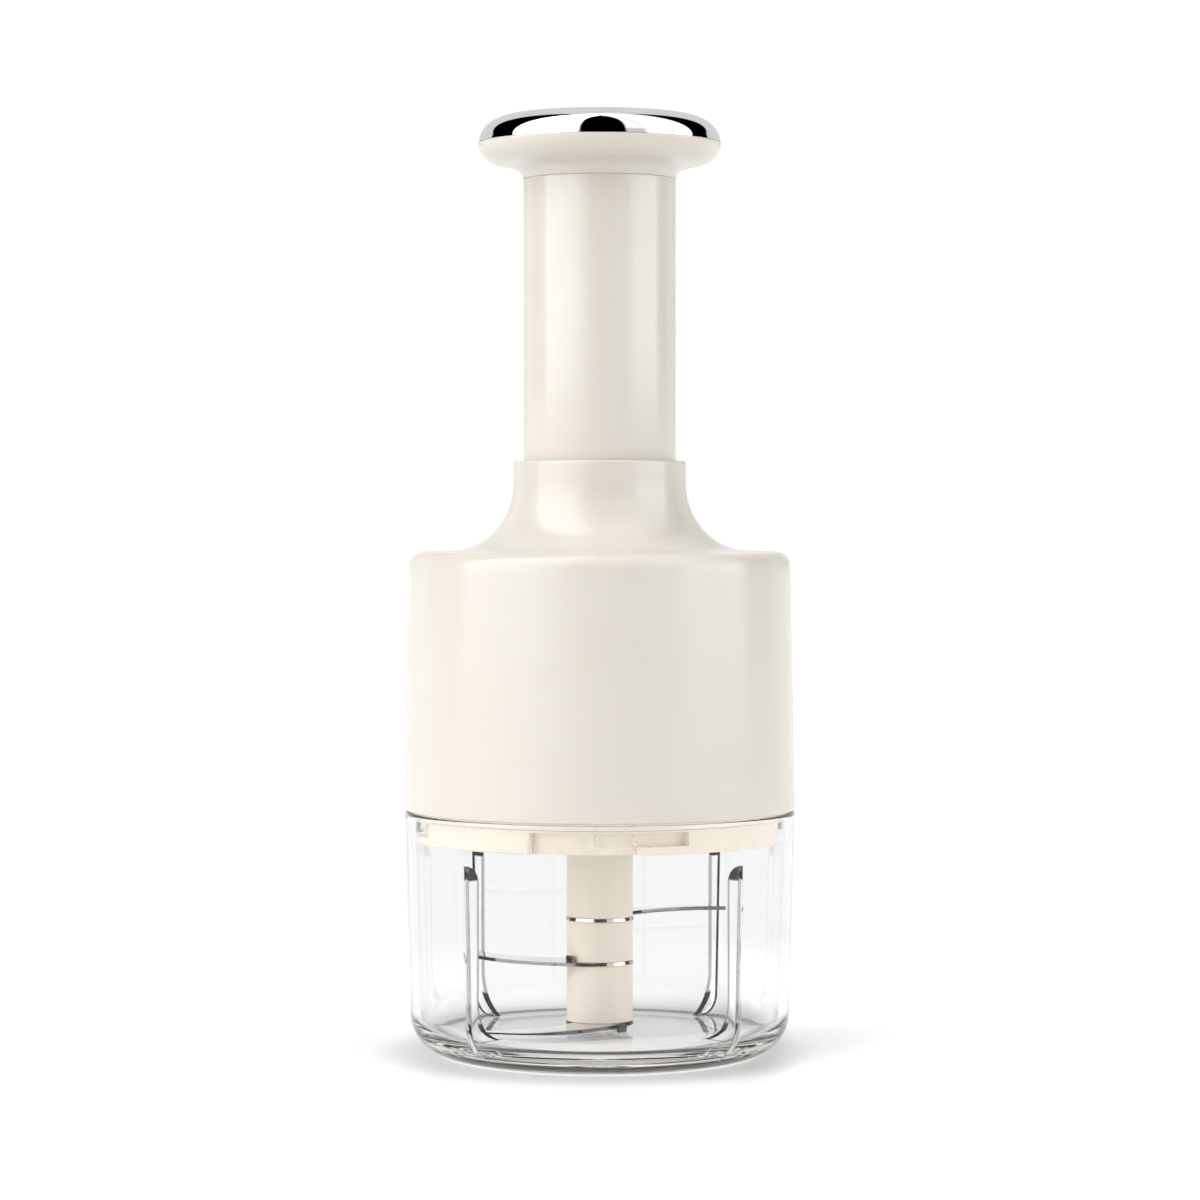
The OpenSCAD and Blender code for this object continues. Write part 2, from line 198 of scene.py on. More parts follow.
def clear_plastic(name, glint, edge, shade=0.955, lines=None):
    """Clear moulding. glint scales what it mirrors; edge is where its colour is painted dark as the surface turns away,
    a painted dark refraction along its outlines; shade is how much lamp light gets through each surface; lines adds
    painted dark lines by place."""
    m, nt, out = new_tree(name)
    p = coords(nt)
    b = nt.nodes.new("ShaderNodeBsdfPrincipled")
    tone = noise(nt, p, 12.0, 1.0, 0.5)
    clean = ramp(nt, tone, [(0.0, (0.988, 0.993, 0.993)), (1.0, (0.996, 0.998, 0.998))])
    lw = nt.nodes.new("ShaderNodeLayerWeight")
    lw.inputs["Blend"].default_value = 0.5
    mix = nt.nodes.new("ShaderNodeMix")
    mix.data_type = "RGBA"
    # colour painted dark at grazing angles and along the given lines: painted dark refraction
    dark = step(nt, lw.outputs["Facing"], edge[0], edge[1])
    if lines:
        dark = math_node(nt, "MAXIMUM", dark, lines(nt, p))
    nt.links.new(dark, mix.inputs[0])
    nt.links.new(clean, mix.inputs[6])
    mix.inputs[7].default_value = (edge[2], edge[2], edge[2], 1.0)
    nt.links.new(mix.outputs[2], b.inputs["Base Color"])
    b.inputs["Roughness"].default_value = 0.0
    b.inputs["IOR"].default_value = 1.5
    b.inputs["Transmission Weight"].default_value = 1.0
    b.inputs["Specular Tint"].default_value = (glint, glint, glint, 1.0)
    flow = noise(nt, p, 28.0, 1.0, 0.4, stretch=(1.0, 1.0, 0.35))
    nt.links.new(bump(nt, flow, 0.25, 0.00003), b.inputs["Normal"])
    # lamp light and soft bounce light pass straight through to what is inside
    path = nt.nodes.new("ShaderNodeLightPath")
    shader = b.outputs[0]
    for kind in ("Is Shadow Ray", "Is Diffuse Ray"):
        mix = nt.nodes.new("ShaderNodeMixShader")
        thru = nt.nodes.new("ShaderNodeBsdfTransparent")
        thru.inputs["Color"].default_value = (shade, shade, shade, 1.0)
        nt.links.new(path.outputs[kind], mix.inputs[0])
        nt.links.new(shader, mix.inputs[1])
        nt.links.new(thru.outputs[0], mix.inputs[2])
        shader = mix.outputs[0]
    nt.links.new(shader, out.inputs["Surface"])
    return m


def metal(name, color, rough, brushed=None, grain=0.000004):
    """Metal with uneven polish; brushed gives the stretch of its grinding lines."""
    m, nt, out = new_tree(name)
    p = coords(nt)
    b = nt.nodes.new("ShaderNodeBsdfPrincipled")
    b.inputs["Metallic"].default_value = 1.0
    lo = tuple(c * 0.94 for c in color)
    nt.links.new(ramp(nt, noise(nt, p, 80.0, 2.0, 0.5), [(0.3, lo), (0.7, color)]), b.inputs["Base Color"])
    if brushed:
        lines = noise(nt, p, 300.0, 3.0, 0.6, stretch=brushed)
    else:
        lines = noise(nt, p, 420.0, 2.0, 0.5)
    nt.links.new(step(nt, lines, 0.3, 0.7, rough[0], rough[1]), b.inputs["Roughness"])
    nt.links.new(bump(nt, lines, 0.4, grain), b.inputs["Normal"])
    nt.links.new(b.outputs[0], out.inputs["Surface"])
    return m


def rubber(name):
    m, nt, out = new_tree(name)
    p = coords(nt)
    b = nt.nodes.new("ShaderNodeBsdfPrincipled")
    n = noise(nt, p, 700.0, 3.0, 0.6)
    # warm white silicone, about as light as the lid's lightened cream: partly its own colour, partly painted extra
    # light where the head shades it
    nt.links.new(ramp(nt, n, [(0.2, (0.90, 0.825, 0.725)), (0.9, (0.94, 0.865, 0.765))]), b.inputs["Base Color"])
    nt.links.new(step(nt, n, 0.2, 0.8, 0.55, 0.75), b.inputs["Roughness"])
    nt.links.new(bump(nt, n, 0.5, 0.00003), b.inputs["Normal"])
    nt.links.new(b.outputs[0], out.inputs["Surface"])
    return m


CREAM = moulded("cream_gloss", (0.595, 0.560, 0.502), (0.610, 0.575, 0.516), rough=(0.16, 0.22))
# lid and column are lighter copies of the head's cream: painted extra light for the light the bowl holds back
LID = moulded("cream_lid_painted_lighter", (0.850, 0.765, 0.655), (0.862, 0.777, 0.667), rough=(0.20, 0.28))
COLUMN = moulded("cream_satin_painted_lighter", (0.777, 0.715, 0.612), (0.783, 0.721, 0.618), rough=(0.30, 0.34), mottle=16.0, grain=0.000002)
# the clear materials paint their colour dark towards their outlines and along given lines: painted dark refraction; the
# lug edges are painted almost black all over
CLEAR = clear_plastic("clear_moulded", 0.6, (0.86, 1.0, 0.15))
CLEAR_RIB = clear_plastic("clear_ribs", 0.04, (0.40, 0.62, 0.0), lines=rib_painted_dark_lines)
CLEAR_BASE = clear_plastic("clear_base", 0.25, (0.66, 0.95, 0.05), shade=0.90, lines=base_painted_dark_line)
CLEAR_LUG_PAINTED_DARK = clear_plastic("clear_lug_edges_painted_dark", 0.04, (-0.6, 0.05, 0.12))
CHROME = metal("mirror_chrome", (0.93, 0.93, 0.925), (0.012, 0.03))
BLADE = metal("blade_steel", (0.64, 0.635, 0.62), (0.03, 0.08), brushed=(0.15, 1.0, 1.0), grain=0.000001)
# edge steels are painted dark: a painted dark reflection on the blades' upright faces, darker still on the lowest blade
EDGE = metal("blade_edge_painted_dark", (0.20, 0.20, 0.205), (0.05, 0.10), brushed=(0.15, 1.0, 1.0), grain=0.000001)
EDGE_LOW = metal("blade_low_edge_painted_darker", (0.07, 0.07, 0.072), (0.05, 0.10), brushed=(0.15, 1.0, 1.0), grain=0.000001)
STEEL = metal("zinc_steel", (0.62, 0.62, 0.61), (0.22, 0.36), brushed=(1.0, 1.0, 0.2))
WHITE = moulded("bearing_white", (0.70, 0.69, 0.66), (0.76, 0.75, 0.72), rough=(0.35, 0.5))
SEAL = rubber("seal_silicone")

# ------------------------------------------------------------------ mesh helpers


def rounded(pts, seg=8, closed=True):
    """Corner points (r, z[, radius]) to a list of points with each such corner rounded."""
    out = []
    n = len(pts)
    for i, p in enumerate(pts):
        rad = p[2] if len(p) > 2 else 0.0
        if rad <= 0 or (not closed and i in (0, n - 1)):
            out.append((p[0], p[1]))
            continue
        c = Vector(p[:2])
        a = Vector(pts[(i - 1) % n][:2]) - c
        b = Vector(pts[(i + 1) % n][:2]) - c
        la, lb = a.length, b.length
        a.normalize()
        b.normalize()
        ang = a.angle(b)
        if ang > math.radians(179):
            out.append((p[0], p[1]))
            continue
        t = min(rad / math.tan(ang / 2), la * 0.499, lb * 0.499)
        r = t * math.tan(ang / 2)
        mid = (a + b).normalized()
        cen = c + mid * (r / math.sin(ang / 2))
        s, e = c + a * t, c + b * t
        a0 = math.atan2(s.y - cen.y, s.x - cen.x)
        a1 = math.atan2(e.y - cen.y, e.x - cen.x)
        d = (a1 - a0 + math.pi) % (2 * math.pi) - math.pi
        k = max(2, int(round(seg * abs(d) / (math.pi / 2))))
        for j in range(k + 1):
            q = a0 + d * j / k
            out.append((cen.x + r * math.cos(q), cen.y + r * math.sin(q)))
    return out


def arc(cx, cz, rx, rz, a0, a1, n):
    return [(cx + rx * math.cos(math.radians(a0 + (a1 - a0) * i / n)),
             cz + rz * math.sin(math.radians(a0 + (a1 - a0) * i / n))) for i in range(n + 1)]


def to_object(name, bm, mat, sharp=34.0):
    bmesh.ops.recalc_face_normals(bm, faces=bm.faces)
    for f in bm.faces:
        f.smooth = True
    for e in bm.edges:
        if len(e.link_faces) == 2:
            e.smooth = e.calc_face_angle(0.0) < math.radians(sharp)
    me = bpy.data.meshes.new(name)
    bm.to_mesh(me)
    bm.free()
    o = bpy.data.objects.new(name, me)
    scene.collection.objects.link(o)
    me.materials.append(mat)
    return o


def revolve_bm(profile, seg=192, phase=0.0):
    """Closed profile of (r, z) in mm, turned about Z. Points on the axis become poles."""
    bm = bmesh.new()
    rings = []
    for r, z in profile:
        if r < 1e-6:
            rings.append([bm.verts.new((0, 0, z * MM))])
        else:
            rings.append([bm.verts.new((r * MM * math.cos(phase + 2 * math.pi * k / seg),
                                        r * MM * math.sin(phase + 2 * math.pi * k / seg), z * MM))
                          for k in range(seg)])
    n = len(rings)
    for i in range(n):
        a, b = rings[i], rings[(i + 1) % n]
        if len(a) == 1 and len(b) == 1:
            continue
        for k in range(seg):
            k2 = (k + 1) % seg
            if len(a) == 1:
                bm.faces.new((a[0], b[k2], b[k]))
            elif len(b) == 1:
                bm.faces.new((a[k], a[k2], b[0]))
            else:
                bm.faces.new((a[k], a[k2], b[k2], b[k]))
    return bm


def revolve(name, profile, mat, seg=192, sharp=34.0):
    return to_object(name, revolve_bm(profile, seg), mat, sharp)


def block_bm(r0, r1, z0, z1, a0, a1, n=24):
    """Ring sector as a closed solid, angles in degrees from +X."""
    bm = bmesh.new()
    rows = []
    for i in range(n + 1):
        a = math.radians(a0 + (a1 - a0) * i / n)
        c, s = math.cos(a), math.sin(a)
        rows.append([bm.verts.new((r * MM * c, r * MM * s, z * MM))
                     for r, z in ((r0, z0), (r1, z0), (r1, z1), (r0, z1))])
    for i in range(n):
        for j in range(4):
            k = (j + 1) % 4
            bm.faces.new((rows[i][j], rows[i][k], rows[i + 1][k], rows[i + 1][j]))
    bm.faces.new(rows[0])
    bm.faces.new(list(reversed(rows[-1])))
    bmesh.ops.recalc_face_normals(bm, faces=bm.faces)
    return bm


def boolean(obj, cutter, op="DIFFERENCE"):
    mod = obj.modifiers.new("b", "BOOLEAN")
    mod.operation = op
    mod.solver = "EXACT"
    mod.object = cutter
    dg = bpy.context.evaluated_depsgraph_get()
    me = bpy.data.meshes.new_from_object(obj.evaluated_get(dg))
    obj.modifiers.clear()
    old = obj.data
    obj.data = me
    bpy.data.meshes.remove(old)
    bpy.data.objects.remove(cutter, do_unlink=True)
    return obj


def resharp(obj, deg=34.0, bevel=0.0, segments=2):
    """Applies a small bevel to hard edges and marks what stays sharp."""
    if bevel:
        mod = obj.modifiers.new("v", "BEVEL")
        mod.width = bevel * MM
        mod.segments = segments
        mod.limit_method = "ANGLE"
        mod.angle_limit = math.radians(40)
        mod.harden_normals = False
        mod.use_clamp_overlap = True
        dg = bpy.context.evaluated_depsgraph_get()
        me = bpy.data.meshes.new_from_object(obj.evaluated_get(dg))
        obj.modifiers.clear()
        obj.data = me
    bm = bmesh.new()
    bm.from_mesh(obj.data)
    bmesh.ops.remove_doubles(bm, verts=bm.verts, dist=1e-6)
    bmesh.ops.dissolve_degenerate(bm, edges=bm.edges, dist=1e-7)
    for f in bm.faces:
        f.smooth = True
    for e in bm.edges:
        if len(e.link_faces) == 2:
            e.smooth = e.calc_face_angle(0.0) < math.radians(deg)
    bm.to_mesh(obj.data)
    bm.free()
    return obj


def place(obj, body, slot, *nodes):
    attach(obj, body)
    if nodes:
        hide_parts(*nodes)
    return obj


def front(a):
    return a - 90.0


# ------------------------------------------------------------------ camera

cam_data = bpy.data.cameras.new("camera")
cam_data.sensor_width = 36.0
cam_data.sensor_fit = "HORIZONTAL"
cam_data.lens = 36.0 * 3693.3 / 1200.0
cam_data.clip_start = 0.05
cam_data.clip_end = 60.0
cam = bpy.data.objects.new("camera", cam_data)
cam.location = (0.00007, -0.8963, 0.1343)
cam.rotation_euler = (math.radians(90.0 - 1.556), 0.0, 0.0)
scene.collection.objects.link(cam)
scene.camera = cam

# ------------------------------------------------------------------ studio

scene.view_settings.view_transform = "Standard"
scene.view_settings.look = "None"
scene.view_settings.exposure = 0.0
scene.view_settings.gamma = 1.0

world = bpy.data.worlds.new("studio")
scene.world = world
world.use_nodes = True
nt = world.node_tree
nt.nodes.clear()
wout = nt.nodes.new("ShaderNodeOutputWorld")
bg = nt.nodes.new("ShaderNodeBackground")
tc = nt.nodes.new("ShaderNodeTexCoord")
sep = nt.nodes.new("ShaderNodeSeparateXYZ")
nt.links.new(tc.outputs["Generated"], sep.inputs[0])
X, Y, Z = sep.outputs
front_y = math_node(nt, "MULTIPLY", Y, -1.0)
# Angle round the object: 0 towards the front, negative to the left, positive to the right
AZ = math_node(nt, "MULTIPLY", math_node(nt, "ARCTAN2", X, front_y), 180.0 / math.pi)
absx = math_node(nt, "ABSOLUTE", X)
on_right = step(nt, X, -0.02, 0.02)
LEFT_IN, LEFT_HOT, LEFT_TOP = 1.25, 3.6, 1.05
RIGHT_IN, RIGHT_HOT, RIGHT_TOP = 0.66, 3.8, 0.32
WALL, WALL_BACK, FLOOR_LOW = 0.70, 0.98, 0.97
GLASS_MAX = 2.0
# two big soft boxes, hottest at 45 to 85 degrees on each side
left = step(nt, AZ, -45.0, -18.0, LEFT_HOT, LEFT_IN)
left = math_node(nt, "MULTIPLY", left, step(nt, Z, 0.1, 0.9, 1.0, LEFT_TOP))
right = step(nt, AZ, 42.0, 56.0, RIGHT_IN, RIGHT_HOT)
right = math_node(nt, "MULTIPLY", right, step(nt, Z, 0.1, 0.9, 1.0, RIGHT_TOP))
# inner part of the right box stays bright high up
inner = math_node(nt, "MULTIPLY", step(nt, AZ, 40.0, 60.0, 1.0, 0.0), step(nt, Z, 0.3, 0.5))
right = mix_f(nt, inner, right, 1.1)
side = mix_f(nt, on_right, left, right)
# dark card in front, running up and over the object
u = math_node(nt, "DIVIDE", X, math_node(nt, "POWER", math_node(nt, "MAXIMUM", front_y, 0.003), 0.67))
card = math_node(nt, "MULTIPLY", step(nt, u, -0.37, -0.31), step(nt, u, 0.42, 0.48, 1.0, 0.0))
card = math_node(nt, "MULTIPLY", card, step(nt, Y, 0.0, 0.06, 1.0, 0.0))
# back edges of the boxes lean away with height
edge = mix_f(nt, on_right, math_node(nt, "MULTIPLY_ADD", Z, 0.2, -0.035), math_node(nt, "MULTIPLY_ADD", Z, 0.15, 0.105))
behind = step(nt, math_node(nt, "SUBTRACT", Y, edge), -0.03, 0.03)
boxes = math_node(nt, "MULTIPLY", side, math_node(nt, "SUBTRACT", 1.0, card))
# pale wall behind, with a dark gap between it and each box
slope = step(nt, Z, 0.2, 0.6, 0.68, 1.28)
wall_seen = step(nt, math_node(nt, "SUBTRACT", Y, math_node(nt, "MULTIPLY", slope, absx)), -0.04, 0.04)
wall = math_node(nt, "MULTIPLY", step(nt, Y, 0.93, 0.98, WALL, WALL_BACK), wall_seen)
total = mix_f(nt, behind, boxes, wall)
total = mix_f(nt, step(nt, Z, -0.03, 0.0), FLOOR_LOW, total)
# the backdrop itself is plain white wherever the camera looks straight at it
lp = nt.nodes.new("ShaderNodeLightPath")
through = math_node(nt, "MULTIPLY", math_node(nt, "GREATER_THAN", lp.outputs["Transmission Depth"], 0.5),
                    math_node(nt, "LESS_THAN", lp.outputs["Diffuse Depth"], 0.5))
total = mix_f(nt, through, total, math_node(nt, "MINIMUM", total, GLASS_MAX))
total = mix_f(nt, lp.outputs["Is Camera Ray"], total, 1.05)
nt.links.new(total, bg.inputs["Strength"])
bg.inputs["Color"].default_value = (1.0, 1.0, 1.0, 1.0)
nt.links.new(bg.outputs[0], wout.inputs["Surface"])

scene.cycles.max_bounces = 24
scene.cycles.transmission_bounces = 24
scene.cycles.glossy_bounces = 14
scene.cycles.diffuse_bounces = 5

fm, fnt, fout = new_tree("floor_paper")
fb = fnt.nodes.new("ShaderNodeBsdfPrincipled")
fp = coords(fnt)
paper = ramp(fnt, noise(fnt, fp, 3.0, 2.0), [(0.0, (0.770, 0.770, 0.770)), (1.0, (0.785, 0.785, 0.785))])
# painted contact shade round the foot of the bowl, and a painted glow where its clear base would gather light under it
far_r, _ = radius_height(fnt, fp)
under = step(fnt, far_r, 37.5, 40.0)
near_shade = math_node(fnt, "MULTIPLY", step(fnt, far_r, 46.0, 57.0, 0.17, 0.0), under)
wide_shade = math_node(fnt, "MULTIPLY", step(fnt, far_r, 46.0, 78.0, 0.13, 0.0), under)
keep = math_node(fnt, "SUBTRACT", 1.0, math_node(fnt, "ADD", near_shade, wide_shade))
shaded = fnt.nodes.new("ShaderNodeMix")
shaded.data_type = "RGBA"
fnt.links.new(keep, shaded.inputs[0])
shaded.inputs[6].default_value = (0.0, 0.0, 0.0, 1.0)
fnt.links.new(paper, shaded.inputs[7])
fnt.links.new(shaded.outputs[2], fb.inputs["Base Color"])
fb.inputs["Roughness"].default_value = 0.9
fb.inputs["Specular IOR Level"].default_value = 0.0
fb.inputs["Emission Color"].default_value = (1.0, 1.0, 1.0, 1.0)
# painted glow that fills the shadow at both sides of the bowl
fxyz = fnt.nodes.new("ShaderNodeSeparateXYZ")
fnt.links.new(fp, fxyz.inputs[0])
fill = math_node(fnt, "ADD", step(fnt, fxyz.outputs[0], 0.036, 0.050, 0.0, 0.26), step(fnt, fxyz.outputs[0], -0.050, -0.036, 0.10, 0.0))
fill = math_node(fnt, "MULTIPLY", fill, step(fnt, far_r, 110.0, 260.0, 1.0, 0.0))
glow = math_node(fnt, "ADD", step(fnt, far_r, 34.0, 44.0, 0.30, 0.08), fill)
fnt.links.new(glow, fb.inputs["Emission Strength"])
fnt.links.new(fb.outputs[0], fout.inputs["Surface"])
fbm = bmesh.new()
bmesh.ops.create_grid(fbm, x_segments=2, y_segments=2, size=25.0)
floor = to_object("floor", fbm, fm)
floor.location = (0, 0, -0.00002)

# ------------------------------------------------------------------ head

HR, HT, NR = 47.45, 46.25, 20.97
housing_profile = (
    rounded([(45.3, 59.42), (HR - 0.35, 59.42)], closed=False)
    + arc(HR - 0.35, 59.77, 0.35, 0.35, -60, 0, 3)
    + [(HR - (HR - HT) * t, 59.8 + (118.4 - 59.8) * t) for t in (0.02, 0.25, 0.5, 0.75, 0.98)]
    + arc(HT - 3.3, 118.4, 3.3, 3.3, 4, 88, 14)
    + [(40.0, 121.78)]
    + arc(36.4, 138.4, 36.4 - NR, 16.5, 268, 181, 40)
    + [(NR, 139.5), (NR, 142.4)]
    + arc(NR - 0.55, 143.12, 0.55, 0.55, 0, 90, 6)
    + arc(19.45 + 0.3, 143.37, 0.3, 0.3, 90, 180, 3)
    + [(19.45, 139.0)]
    + arc(36.4, 138.4, 36.4 - 19.45, 18.7, 180, 270, 16)
    + [(41.2, 119.6)]
    + arc(41.9, 117.4, 2.2, 2.2, 90, 0, 4)
    + [(45.3, 62.0)]
)
housing = revolve("housing_shell", housing_profile, CREAM, seg=256, sharp=40)
hb = bmesh.new()
hb.from_mesh(housing.data)
for k in range(4):
    a = math.radians(45 + 90 * k)
    tube = revolve_bm([(1.3, 60.0), (3.2, 60.0), (3.2, 121.0), (1.3, 121.0)], seg=24)
    bmesh.ops.translate(tube, verts=tube.verts, vec=(0.034 * math.cos(a), 0.034 * math.sin(a), 0))
    tm = bpy.data.meshes.new("t")
    for f in tube.faces:
        f.smooth = True
    tube.to_mesh(tm)
    tube.free()
    hb.from_mesh(tm)
    bpy.data.meshes.remove(tm)
hb.to_mesh(housing.data)
hb.free()
place(housing, "head", "cream_shell", "body_housing")

plug = revolve("lid_plug", rounded([
    (8.13, 52.0, 0.4), (44.3, 52.0, 0.5), (44.3, 57.65, 0.1), (42.95, 57.65), (42.95, 59.4), (45.2, 59.4),
    (45.2, 62.0), (40.2, 62.0), (40.2, 54.2, 0.8), (11.2, 54.2, 0.8), (11.2, 61.2, 0.2), (8.13, 61.2, 0.2)], 4),
    LID, seg=240, sharp=40)


def union_all(parts):
    bm = bmesh.new()
    for p in parts:
        me = bpy.data.meshes.new("t")
        p.to_mesh(me)
        p.free()
        bm.from_mesh(me)
        bpy.data.meshes.remove(me)
    me = bpy.data.meshes.new("cut")
    bm.to_mesh(me)
    bm.free()
    o = bpy.data.objects.new("cut", me)
    scene.collection.objects.link(o)
    return o


cuts = []
for k in range(4):
    base = front(0) + 90 * k
    cuts.append(block_bm(42.3, 46.5, 50.0, 57.15, base - 21.2, base + 11.5, 30))
chan = []
for k in range(4):
    base = front(0) + 90 * k
    chan.append(block_bm(42.3, 46.5, 53.9, 57.15, base + 11.0, base + 27.4, 18))
boolean(plug, union_all(cuts))
boolean(plug, union_all(chan))
wells = []
for k in range(4):
    a = math.radians(45 + 90 * k)
    for r, z0, z1 in ((3.1, 50.0, 57.0),):
        w = revolve_bm([(0, z0), (r, z0), (r, z1), (0, z1)], seg=32)
        bmesh.ops.translate(w, verts=w.verts, vec=(0.034 * math.cos(a), 0.034 * math.sin(a), 0))
        wells.append(w)
posts = []
for k in range(4):
    a = math.radians(45 + 90 * k)
    w = revolve_bm([(0, 53.0), (4.4, 53.0), (4.4, 59.9), (0, 59.9)], seg=40)
    bmesh.ops.translate(w, verts=w.verts, vec=(0.034 * math.cos(a), 0.034 * math.sin(a), 0))
    posts.append(w)
boolean(plug, union_all(posts), "UNION")
boolean(plug, union_all(wells))
resharp(plug, 40, bevel=0.34, segments=3)
place(plug, "head", "cream_shell", "lid_base")

# ------------------------------------------------------------------ seal

seal = revolve("seal_ring", rounded([
    (43.05, 57.75, 0.1), (44.6, 57.75, 0.1), (44.6, 59.05), (45.6, 59.05, 0.1), (45.6, 59.32, 0.1), (43.05, 59.32, 0.1)], 3),
    SEAL, seg=192)
place(seal, "seal_body", "seal_rubber", "lid_seal")

# ------------------------------------------------------------------ handle

TR = 18.48
tube = revolve("plunger_tube", rounded([
    (16.9, 119.5, 0.2), (TR, 119.5, 0.2), (TR, 119.55), (18.0, 119.6), (18.0, 122.4), (TR, 122.45, 0.1), (TR, 165.0), (TR, 211.68, 0.18),
    (16.9, 211.68)], 3), CREAM, seg=192, sharp=40)
place(tube, "handle", "cream_shell", "handle_tube")

KR = 29.4
knob_profile = (
    [(12.2, 204.05), (16.84, 204.05), (16.84, 211.66)]
    + [(TR - 0.02, 211.72), (TR + 0.08, 211.8)]
    + arc(21.9, 211.6, 21.82 - TR, 3.0, 174, 96, 14)
    + arc(23.2, 220.4, KR - 23.2, 5.15, -84, -2, 22)
    + [(KR - 0.05, 220.36), (27.2, 220.38), (27.2, 218.35), (25.4, 218.35), (25.4, 220.38), (24.2, 220.38), (24.2, 217.5), (12.2, 217.5)]
)
under = revolve("knob_under", knob_profile, CREAM, seg=224, sharp=40)
place(under, "handle", "cream_shell", "knob_base")

TOP, CZ = 227.68, 220.45
cap_profile = (
    [(0, TOP), (6, TOP - 0.03), (12, TOP - 0.14), (17, TOP - 0.34)]
    + arc(21.2, CZ, KR - 21.2, TOP - 0.65 - CZ, 82, 0, 26)
    + [(KR - 0.06, CZ - 0.02), (28.0, CZ)]
    + arc(21.2, CZ, 6.8, TOP - 1.9 - CZ, 10, 44, 5)
    + [(26.1, CZ + 3.4), (26.1, CZ - 1.9), (25.7, CZ - 1.9), (25.7, CZ + 3.8)]
    + arc(21.2, CZ, 6.8, TOP - 1.9 - CZ, 52, 90, 5)
    + [(0, TOP - 1.35)]
)
cap = revolve("chrome_knob_cap", cap_profile, CHROME, seg=256, sharp=40)
place(cap, "handle", "chrome_cap", "knob_cap")

# ------------------------------------------------------------------ bowl

RB, RT, WALL_T = 46.08, 47.38, 2.55
FLOOR, FILLET = 5.0, 5.3
RIB_T, RIB_R, RIB_TOP, RIB_BEND = 1.15, 40.8, 48.4, 44.0
RIB_AT, FOOT_Z, FOOT_R, ROOT = 46.6, 16.3, 13.0, 0.35


def bowl_profile():
    """Outer profile from the centre of the base up to the rim."""
    return ([(0, 0.8), (15.0, 0.8), (28.0, 0.8), (30.8, 0.8), (31.4, 0.6), (31.9, 0.1), (32.4, 0.0), (34.5, 0.0)]
            + arc(RB - 10, 10, 10, 10, -90, -2, 26)
            + [(RB + (RT - RB) * t, 10.5 + (58.0 - 10.5) * t) for t in (0.0, 0.15, 0.3, 0.45, 0.6, 0.75, 0.9, 1.0)]
            + arc(RT - 0.5, 58.5, 0.5, 0.5, 0, 90, 5))


def wall_r(z):
    """Inside radius of the plain wall at height z."""
    t = min(1.0, max(0.0, (z - 10.5) / (58.0 - 10.5)))
    return (RB - WALL_T) + (RT - RB) * t


def wall_inner(z):
    """Inside radius at height z, with the fillet into the floor."""
    if z >= FLOOR + FILLET:
        return wall_r(z)
    d = min(FILLET, FLOOR + FILLET - z)
    return RB - WALL_T - FILLET + math.sqrt(max(0.0, FILLET ** 2 - d * d))


def ridge_r(z):
    """Radius of the ribs' crest at height z: round top, straight run, foot that sweeps into the floor."""
    if z > RIB_BEND:
        u = min(1.0, (z - RIB_BEND) / (RIB_TOP - RIB_BEND))
        return RIB_R + (wall_r(RIB_TOP) - RIB_R) * (1 - math.sqrt(max(0.0, 1 - u * u)))
    if z < FOOT_Z:
        return RIB_R - (FOOT_R - math.sqrt(FOOT_R ** 2 - (FOOT_Z - z) ** 2))
    return RIB_R


def fin(s, depth):
    """Height of a rib above the wall at s mm from its centre plane: round nose, steep flanks, small root fillets."""
    s = abs(s)
    half = RIB_T / 2
    if depth <= 0 or s >= half + ROOT:
        return 0.0
    if s < half:
        nose = math.sqrt(max(0.0, half * half - s * s))
        return depth - half + nose if depth > half else depth * nose / half
    f = min(1.0, depth / (half + ROOT))
    return f * (ROOT - math.sqrt(max(0.0, ROOT ** 2 - (half + ROOT - s) ** 2)))


